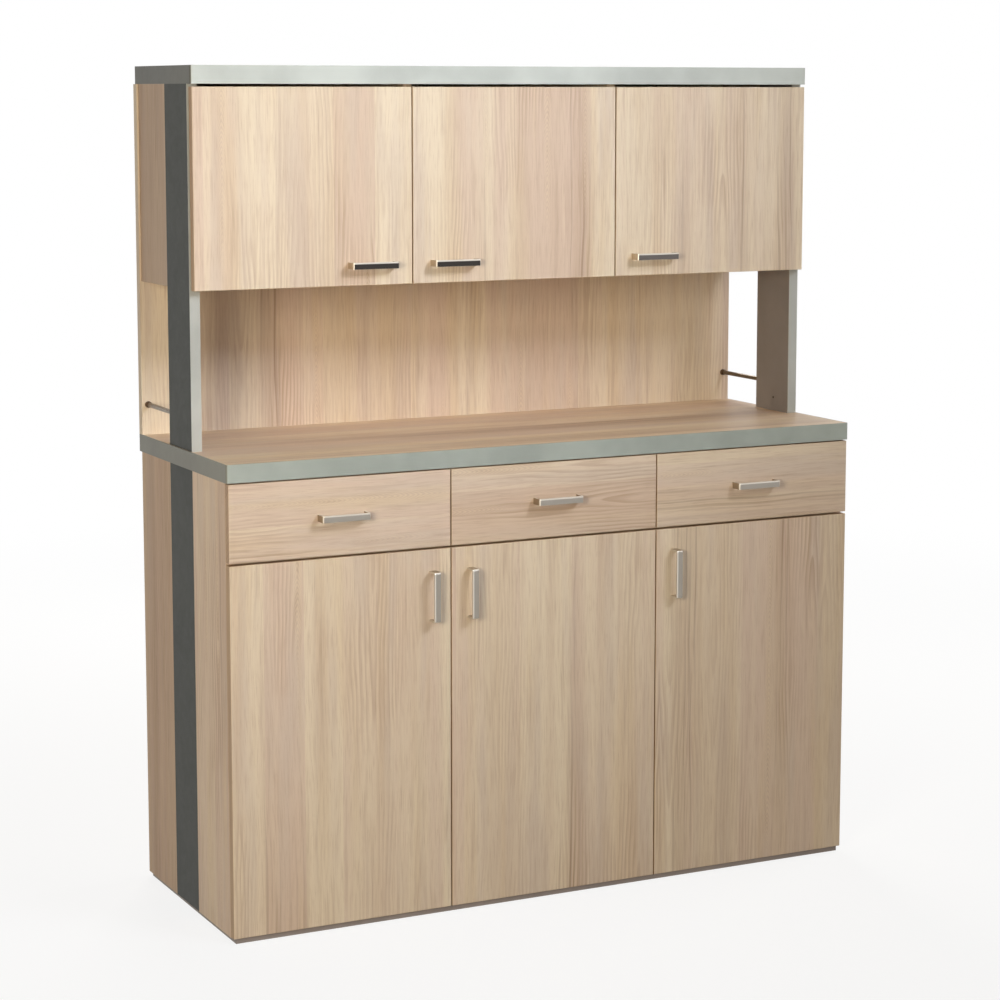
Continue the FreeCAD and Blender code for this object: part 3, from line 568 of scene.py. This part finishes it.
HEAD_SIDES = 20
HEAD_RINGS = ((1.0, 0.0), (1.0, 0.30), (0.88, 0.72), (0.66, 1.0))     # shares of radius and rise
CROSS_ARM = 0.50                 # half the length of the recess, as a share of the head's radius
CROSS_HALF = 0.12                # half the width of its arms, likewise
CROSS_FLOOR = (0.8, 0.3)         # its floor: a share of the brim's size and of the head's rise
WIDE_HEAD = (4.0 * MM, 2.2 * MM)         # radius and rise
SMALL_HEAD = (2.9 * MM, 1.1 * MM)
DARK_HEAD = (2.6 * MM, 0.9 * MM)
BACKWARD = (0, 1, 0)
BOARD = 19 * MM                  # thickness of the carcass boards
HANDLE_SCREW = 2 * MM            # in from the end of a handle
CUP_SETBACK = 22.5 * MM          # cup centre from the hinged edge of a door
CUP_SCREW = 22.5 * MM            # flange screws above and below the cup's centre
HINGE_END = 95 * MM              # hinge centre from the end of a door
FLANGE = 1 * MM                  # thickness of a cup's flange
PLATE = 2 * MM                   # and of a hinge plate
PLATE_SETBACK = 56 * MM          # middle of a hinge plate behind the door's face
PLATE_SCREW = 16 * MM            # plate screws above and below its middle
POST_THICK = 22 * MM             # a post with its cheek
INNER_FRONT = 12 * MM            # thickness of a drawer box's inner front
FRONT_SCREW = (45 * MM, 22 * MM)         # in from a drawer box's sides, and from its top and foot
BACK_SCREW = 30 * MM             # the first screws of the back panel, in from its sides
BACK_COLUMNS = 7                 # screws along its head and foot
BACK_ROWS = 4                    # and up each divider
POST_SCREW = (19 * MM, 1031 * MM)        # along Y, and up
COLLAR_RADIUS = 7.5 * MM         # the bush at the rear end of a rod
COLLAR_LENGTH = 8 * MM
COLLAR_TAPER = 0.86              # its narrower end
COLLAR_SIDES = 24


def join_rings(head, lower, upper):
    """Side faces between two rings of equally many points."""
    for index in range(len(lower)):
        head.faces.new((lower[index - 1], lower[index], upper[index], upper[index - 1]))


def finished_mesh(name, work):
    """The mesh of a bmesh that is done with."""
    mesh = bpy.data.meshes.new(name)
    work.to_mesh(mesh)
    work.free()
    return mesh


def screw_head(name, radius, rise):
    """A domed head with a cross recess, standing on the XY plane and looking up Z."""
    head = bmesh.new()
    turns = [2 * math.pi * side / HEAD_SIDES for side in range(HEAD_SIDES)]
    rings = []
    for wide, high in HEAD_RINGS:
        circle = [(radius * wide * math.cos(turn), radius * wide * math.sin(turn))
                  for turn in turns]
        rings.append([head.verts.new((x, y, rise * high)) for x, y in circle])
    for lower, upper in zip(rings, rings[1:]):
        join_rings(head, lower, upper)
    arm, half = CROSS_ARM * radius, CROSS_HALF * radius
    cross = [(arm, -half), (arm, half), (half, half), (half, arm), (-half, arm), (-half, half),
             (-arm, half), (-arm, -half), (-half, -half), (-half, -arm), (half, -arm),
             (half, -half)]
    narrow, deep = CROSS_FLOOR
    brim = [head.verts.new((x, y, rise)) for x, y in cross]
    floor = [head.verts.new((narrow * x, narrow * y, deep * rise)) for x, y in cross]
    join_rings(head, brim, floor)
    head.faces.new(floor)
    head.faces.new(rings[0])
    loops = [head.edges.get((ring[index - 1], ring[index])) for ring in (rings[-1], brim)
             for index in range(len(ring))]
    bmesh.ops.bridge_loops(head, edges=loops)
    bmesh.ops.recalc_face_normals(head, faces=head.faces)
    return finished_mesh(name, head)


def put(name, mesh, place, direction, body):
    """One small piece at a place on a surface, looking away from it."""
    piece = bpy.data.objects.new(name, mesh)
    bpy.context.collection.objects.link(piece)
    turn = Vector((0.0, 0.0, 1.0)).rotation_difference(Vector(direction))
    piece.matrix_world = Matrix.Translation(place) @ turn.to_matrix().to_4x4()
    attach(piece, body)


def screw(name, mesh, place, direction, body):
    """One screw head, put on the surface that it holds."""
    put(name, mesh, place, direction, body)


def handle_screws(mesh):
    """Two to a handle, seen on the back of a door and inside a drawer."""
    for bay in BAYS:
        for row in ("base_door", "upper_door", "drawer"):
            body = f"{row}_{bay}"
            drawer = row == "drawer"
            low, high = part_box(f"{body}_handle")
            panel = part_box(f"{body}_front" if drawer else f"{body}_panel")[1]
            back = panel.y + (INNER_FRONT if drawer else 0.0)
            middle = (low + high) / 2
            if row == "base_door":
                ends = [(middle.x, low.z + HANDLE_SCREW), (middle.x, high.z - HANDLE_SCREW)]
            else:
                ends = [(low.x + HANDLE_SCREW, middle.z), (high.x - HANDLE_SCREW, middle.z)]
            for count, (x, z) in enumerate(ends, start=1):
                screw(f"{body}_handle_screw_{count}", mesh, (x, back, z), BACKWARD, body)


def hinge_screws(mesh):
    """Two in each cup's flange, riding on the door, and two in each fixed plate."""
    cheek = POST_THICK - (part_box("post_left")[1].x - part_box("post_left")[0].x)
    faces = {
        "base": (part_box("base_side_left")[1].x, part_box("base_divider_right")[0].x,
                 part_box("base_side_right")[0].x),
        "upper": (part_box("post_left")[1].x + cheek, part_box("upper_dividers")[1].x - BOARD,
                  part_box("post_right")[0].x - cheek),
    }
    for row, sides in faces.items():
        for bay, side in zip(BAYS, sides):
            body = f"{row}_door_{bay}"
            low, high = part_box(f"{body}_panel")
            hinged_left = bay == "left"
            way = 1 if hinged_left else -1
            cup = (low.x if hinged_left else high.x) + way * CUP_SETBACK
            for spot, level in (("low", low.z + HINGE_END), ("high", high.z - HINGE_END)):
                for count, up in enumerate((-1, 1), start=1):
                    screw(f"{body}_cup_{spot}_screw_{count}", mesh,
                          (cup, high.y + FLANGE, level + up * CUP_SCREW), BACKWARD, body)
                    screw(f"{body}_plate_{spot}_screw_{count}", mesh,
                          (side + way * PLATE, low.y + PLATE_SETBACK, level + up * PLATE_SCREW),
                          (way, 0, 0), "root")


def drawer_screws(mesh):
    """Four that hold each drawer front, seen inside the drawer."""
    aside, down = FRONT_SCREW
    for bay in BAYS:
        low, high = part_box(f"drawer_{bay}_box")
        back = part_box(f"drawer_{bay}_front")[1].y + INNER_FRONT
        corners = [(x, z) for x in (low.x + aside, high.x - aside)
                   for z in (low.z + down, high.z - down)]
        for count, (x, z) in enumerate(corners, start=1):
            screw(f"drawer_{bay}_front_screw_{count}", mesh, (x, back, z), BACKWARD,
                  f"drawer_{bay}")


def back_screws(mesh):
    """Along the head and foot of the base's back panel, and up both dividers."""
    low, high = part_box("base_back")
    span = high.x - low.x - 2 * BACK_SCREW
    for column in range(BACK_COLUMNS):
        x = low.x + BACK_SCREW + span * column / (BACK_COLUMNS - 1)
        for name, z in (("foot", low.z + BOARD / 2), ("head", high.z - BOARD / 2)):
            screw(f"back_{name}_screw_{column + 1}", mesh, (x, high.y, z), BACKWARD, "root")
    for side in ("left", "right"):
        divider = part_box(f"base_divider_{side}")
        x = (divider[0].x + divider[1].x) / 2
        for row in range(BACK_ROWS):
            z = low.z + (high.z - low.z) * (row + 1) / (BACK_ROWS + 1)
            screw(f"back_{side}_screw_{row + 1}", mesh, (x, high.y, z), BACKWARD, "root")


def post_screws(mesh):
    """One low on each post's inner face."""
    depth, height = POST_SCREW
    for side, way in (("left", 1), ("right", -1)):
        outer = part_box(f"post_{side}")[0 if way > 0 else 1].x
        place = (outer + way * POST_THICK, depth, height)
        screw(f"post_{side}_screw", mesh, place, (way, 0, 0), "root")


def rod_collars():
    """A small bush where each gallery rod meets the back panel."""
    bronze = metal("rod_bronze", paint(112, 92, 74), 0.34)
    low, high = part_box("gallery_rods")
    inset = (high.z - low.z) / 2
    for side, x in (("left", low.x + inset), ("right", high.x - inset)):
        ring = bmesh.new()
        bmesh.ops.create_cone(ring, cap_ends=True, segments=COLLAR_SIDES, radius1=COLLAR_RADIUS,
                              radius2=COLLAR_RADIUS * COLLAR_TAPER, depth=COLLAR_LENGTH)
        mesh = finished_mesh(f"rod_collar_{side}", ring)
        mesh.materials.append(bronze)
        place = (x, high.y - COLLAR_LENGTH / 2, low.z + inset)
        put(f"rod_collar_{side}", mesh, place, (0, -1, 0), "root")


def make_screws():
    """Screw heads of three sizes where the station has them."""
    wide = screw_head("screw_head_wide", *WIDE_HEAD)
    small = screw_head("screw_head_small", *SMALL_HEAD)
    dark = screw_head("screw_head_dark", *DARK_HEAD)
    zinc = metal("screw_zinc", paint(196, 195, 190), 0.34)
    wide.materials.append(zinc)
    small.materials.append(zinc)
    dark.materials.append(metal("screw_dark", paint(56, 48, 42), 0.45, metallic=0.5))
    handle_screws(wide)
    hinge_screws(small)
    drawer_screws(wide)
    back_screws(small)
    post_screws(dark)


# ---------------------------------------------------------------- stage, light and camera

FLOOR_WHITE = paint(250, 250, 250)
FLOOR_BOUNCE = paint(165, 160, 154)      # what the floor sends back as light
FLOOR_HALF = 30.0
SHADOW_SHARE = 0.16      # how much of the floor's look is lit, near the station
SHADOW_REACH = (5.0, 1.2)       # from the middle: where that starts and is full
AMBIENT = 0.05           # even light of the room
AMBIENT_FRONT = 0.19     # more of it from the front
AMBIENT_RIGHT = 0.30     # and from the right


def seen_share(n):
    """1 for rays of the camera, of a reflection or through glass; 0 for rays that carry light."""
    path = n.add("ShaderNodeLightPath").outputs
    reflected = n.math("MAXIMUM", path["Is Glossy Ray"], path["Is Transmission Ray"])
    return n.math("MAXIMUM", path["Is Camera Ray"], reflected)


def floor_material():
    """White to look at, apart from the soft shadow near the station; as light, a dim bounce."""
    material, n, shader = new_material("studio_floor")
    view = n.add("ShaderNodeLightPath").outputs["Is Camera Ray"]
    n.feed(shader.inputs["Base Color"], n.blend(view, FLOOR_BOUNCE, FLOOR_WHITE))
    shader.inputs["Roughness"].default_value = 0.9
    shader.inputs["Specular IOR Level"].default_value = 0.0
    _, point = n.place()
    away = n.total(n.product(point["X"], point["X"]), n.product(point["Y"], point["Y"]))
    shadow = n.product(n.step(n.math("SQRT", away), *SHADOW_REACH), SHADOW_SHARE)
    white = n.product(seen_share(n), n.math("SUBTRACT", 1.0, shadow))
    glow = n.add("ShaderNodeEmission", {"Color": gray(1.0), "Strength": 1.0})
    mix = n.add("ShaderNodeMixShader", {0: white, 1: shader.outputs[0], 2: glow.outputs[0]})
    n.feed(material.node_tree.nodes["Material Output"].inputs["Surface"], mix.outputs[0])
    return material


def make_floor():
    """A wide pale floor."""
    mesh = bpy.data.meshes.new("studio_floor")
    outline = [(x * FLOOR_HALF, y * FLOOR_HALF, 0.0)
               for x, y in ((-1, -1), (1, -1), (1, 1), (-1, 1))]
    mesh.from_pydata(outline, [], [(0, 1, 2, 3)])
    mesh.materials.append(floor_material())
    floor = bpy.data.objects.new("studio_floor", mesh)
    bpy.context.collection.objects.link(floor)


def make_world():
    """White to look at; as light, a dim room, a little brighter in front and to the right."""
    world = bpy.data.worlds.new("studio")
    bpy.context.scene.world = world
    world.use_nodes = True
    n = Nodes(world.node_tree)
    way = n.split(n.add("ShaderNodeTexCoord").outputs["Generated"])
    front = n.math("MAXIMUM", n.product(way["Y"], -1.0), 0.0)
    right = n.math("MAXIMUM", way["X"], 0.0)
    room = n.total(n.product(front, AMBIENT_FRONT), n.product(right, AMBIENT_RIGHT))
    room = n.total(room, AMBIENT)
    strength = n.add("ShaderNodeMix", {"Factor": seen_share(n), 2: room, 3: 1.0},
                     data_type="FLOAT")
    background = world.node_tree.nodes["Background"]
    background.inputs["Color"].default_value = gray(1.0)
    n.feed(background.inputs["Strength"], strength.outputs[0])


def softbox(name, place, aim, size, watts, color, spread=math.pi):
    """A rectangular lamp that looks at its aim."""
    lamp = bpy.data.lights.new(name, "AREA")
    lamp.shape = "RECTANGLE"
    lamp.size, lamp.size_y = size
    lamp.energy = watts
    lamp.color = color
    lamp.spread = spread
    lamp_object = bpy.data.objects.new(name, lamp)
    bpy.context.collection.objects.link(lamp_object)
    lamp_object.location = place
    look = Vector(aim) - Vector(place)
    lamp_object.rotation_euler = look.to_track_quat("-Z", "Y").to_euler()


def make_lights():
    """The key falls from the right and above; a wide warm box fills from the left."""
    cool, soft, warm = (0.92, 0.99, 1.10), (1.0, 0.96, 0.90), (1.0, 0.89, 0.70)
    softbox("key_box", (1.3, -2.8, 3.3), (-0.6, 0.0, 1.6), (1.6, 1.3), 9.4, cool, spread=0.9)
    softbox("top_box", (0.9, -2.0, 2.9), (0.0, 0.0, 1.2), (1.2, 1.0), 5.0, soft)
    softbox("left_box", (-3.4, -3.4, 1.8), (-0.3, 0.0, 1.2), (1.4, 1.4), 112.0, warm)
    softbox("right_box", (3.4, 0.5, 1.9), (0.75, 0.1, 1.0), (1.4, 1.4), 34.0, soft)
    softbox("back_box", (0.9, 3.6, 2.4), (0.1, 0.3, 1.0), (1.8, 1.2), 90.0, soft)


def make_camera():
    """The photograph's view."""
    camera = bpy.data.cameras.new("camera")
    camera.sensor_width = SENSOR_WIDTH
    camera.lens = FOCAL_PIXELS * SENSOR_WIDTH / FRAME_PIXELS
    camera.shift_y = (CENTRE_ROW - FRAME_PIXELS / 2) / FRAME_PIXELS
    camera_object = bpy.data.objects.new("camera", camera)
    bpy.context.collection.objects.link(camera_object)
    camera_object.location = CAMERA_PLACE
    camera_object.rotation_euler = (math.pi / 2 - CAMERA_PITCH, 0.0, -CAMERA_YAW)
    bpy.context.scene.camera = camera_object


make_camera()
make_world()
make_lights()
make_floor()
dress_wood()
dress_laminate()
dress_handles()
dress_fittings()
make_screws()
rod_collars()
bpy.context.scene.view_settings.view_transform = "Standard"
